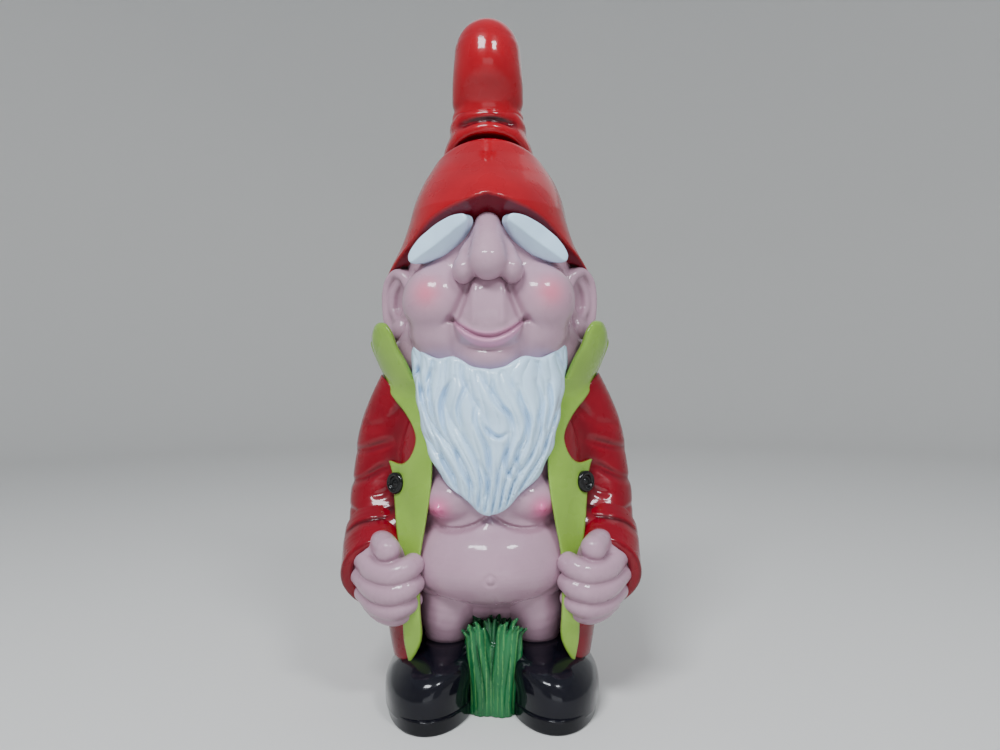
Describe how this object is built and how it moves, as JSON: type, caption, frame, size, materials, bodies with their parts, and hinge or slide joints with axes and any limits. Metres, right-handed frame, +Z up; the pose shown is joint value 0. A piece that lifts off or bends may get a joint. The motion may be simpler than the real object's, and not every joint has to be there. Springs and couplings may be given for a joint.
{
  "type": "garden gnome",
  "caption": "Standing garden gnome of cast resin with a tall folded hat, pointed beard and an open coat held by both fists, on flat-soled boots.",
  "frame": {"origin": "middle of the bounding box's base, on the surface that the soles stand on", "axes": "+Z up along the figure, -Y the way the figure faces, +X towards the figure's own left hand"},
  "size_m": [0.1828, 0.1318, 0.4],
  "materials": {
    "skin": "cast resin painted pinkish beige under a clear gloss coat",
    "white_hair": "cast resin painted white under a clear gloss coat",
    "hat_red": "cast resin painted bright red under a clear gloss coat",
    "coat_red": "cast resin painted deep red under a clear gloss coat",
    "lime_lining": "cast resin painted lime green under a clear gloss coat",
    "black_boot": "cast resin painted black under a clear gloss coat",
    "black_button": "cast resin painted black under a clear gloss coat",
    "grass_green": "cast resin painted green with light streaks, clear gloss coat",
    "steel_rod": "plain mild steel rod"
  },
  "bodies": {
    "root": {"torso_shell": "skin", "head_shell": "skin", "nose": "skin", "beard": "white_hair", "hat_crown": "hat_red", "hat_fold": "hat_red", "hat_tip": "hat_red", "coat_back": "coat_red", "collar": "lime_lining", "grass_tuft": "grass_green", "leg_left": "skin", "leg_right": "skin", "leg_rod_left": "steel_rod", "leg_rod_right": "steel_rod", "sole_left": "black_boot", "sole_right": "black_boot", "boot_left": "black_boot", "boot_right": "black_boot", "eyebrow_left": "white_hair", "eyebrow_right": "white_hair", "ear_left": "skin", "ear_right": "skin", "coat_front_left": "coat_red", "coat_front_right": "coat_red", "lining_left": "lime_lining", "lining_right": "lime_lining", "sleeve_left": "coat_red", "sleeve_right": "coat_red", "cuff_left": "coat_red", "cuff_right": "coat_red", "hand_left": "skin", "hand_right": "skin", "button_left": "black_button", "button_right": "black_button"}
  },
  "joints": []
}
